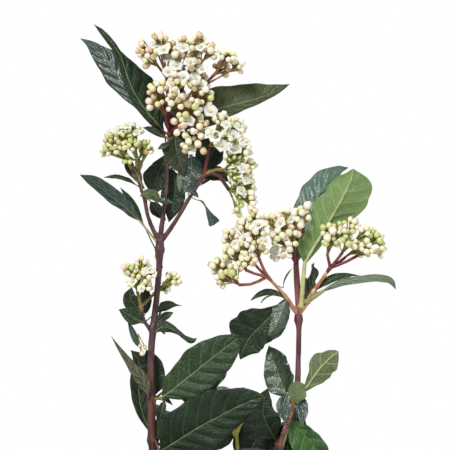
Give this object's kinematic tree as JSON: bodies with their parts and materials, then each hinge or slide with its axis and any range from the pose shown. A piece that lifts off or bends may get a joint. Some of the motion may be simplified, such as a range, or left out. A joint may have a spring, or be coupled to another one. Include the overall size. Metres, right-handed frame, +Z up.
{
  "type": "potted laurustinus",
  "caption": "Young evergreen laurustinus shrub in a plain round pot: upright forked stems, glossy pointed leaves and domed heads of cream buds and small white flowers.",
  "frame": {"origin": "centre of the pot's flat underside, on the surface that the pot stands on", "axes": "+Z up along the stems, +X to the right of the front view, +Y away from the viewer in that view"},
  "size_m": [0.1915, 0.1629, 0.4275],
  "materials": {
    "bark": "satin",
    "green_wood": "satin",
    "leaf": "glossy",
    "blossom": "matte",
    "pot": "matte",
    "compost": "rough"
  },
  "bodies": {
    "root": {"blossom_back": "blossom", "blossom_left_east": "blossom", "blossom_left_low": "blossom", "blossom_left_top": "blossom", "blossom_left_west": "blossom", "blossom_right_east": "blossom", "blossom_right_mid": "blossom", "blossom_right_west": "blossom", "blossom_young": "blossom", "bough_left_east": "bark", "bough_left_mid": "bark", "bough_left_west": "bark", "bough_right_east": "bark", "bough_right_mid": "bark", "bough_right_west": "bark", "compost": "compost", "leaves_back": "leaf", "leaves_left_base": "leaf", "leaves_left_east": "leaf", "leaves_left_foot": "leaf", "leaves_left_fork": "leaf", "leaves_left_low": "leaf", "leaves_left_middle": "leaf", "leaves_left_top": "leaf", "leaves_left_west": "leaf", "leaves_right_base": "leaf", "leaves_right_east": "leaf", "leaves_right_foot": "leaf", "leaves_right_fork": "leaf", "leaves_right_low": "leaf", "leaves_right_west": "leaf", "pot": "pot", "shoot_1": "leaf", "shoot_2": "leaf", "shoot_3": "leaf", "shoot_4": "leaf", "shoot_5": "leaf", "shoot_6": "leaf", "shoot_7": "leaf", "stem_back": "bark", "stem_left": "bark", "stem_right": "bark", "stem_young": "green_wood"}
  },
  "joints": []
}
